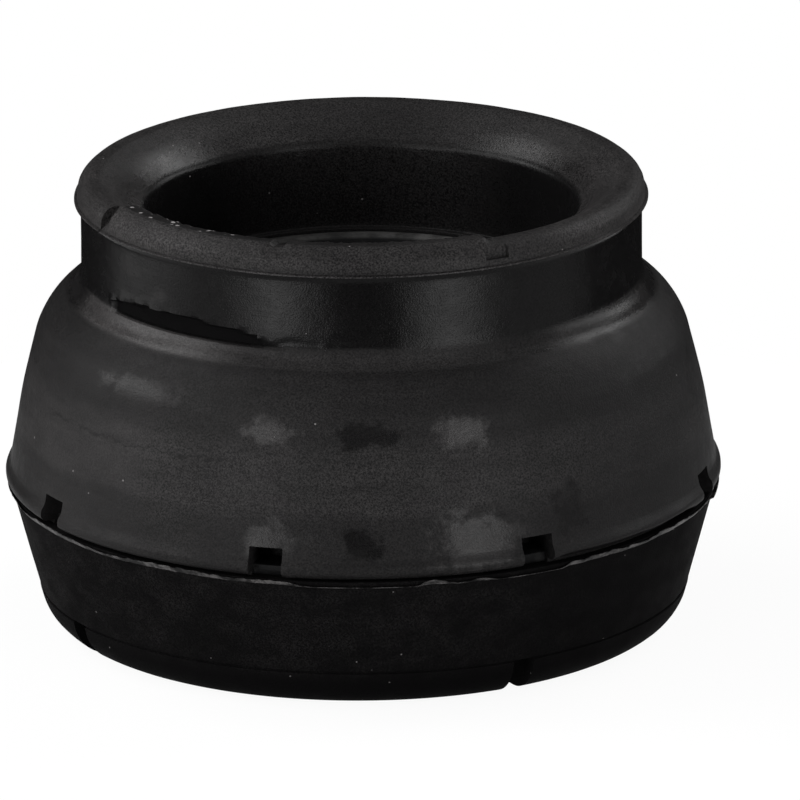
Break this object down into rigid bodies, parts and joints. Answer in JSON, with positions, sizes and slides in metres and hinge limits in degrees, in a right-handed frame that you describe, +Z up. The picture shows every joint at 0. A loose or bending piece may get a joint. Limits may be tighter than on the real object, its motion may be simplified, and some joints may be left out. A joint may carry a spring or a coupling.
{
  "type": "strut mount",
  "caption": "Rubber strut mount bonded to a drawn steel insert: a cone with an open top cup, a rod hole and a bearing recess underneath, which cushions the top of a suspension strut.",
  "frame": {"origin": "on the axis of symmetry, at the bottom face of the rubber base", "axes": "+Z up along the axis of symmetry, towards the neck; -Y towards one window of the skirt"},
  "size_m": [0.084, 0.084, 0.0543],
  "materials": {
    "rubber": "moulded, satin, with a faint grey bloom",
    "coated_steel": "thin black coating on drawn sheet steel"
  },
  "bodies": {
    "root": {"rubber_body": "rubber", "steel_insert": "coated_steel"}
  },
  "joints": []
}
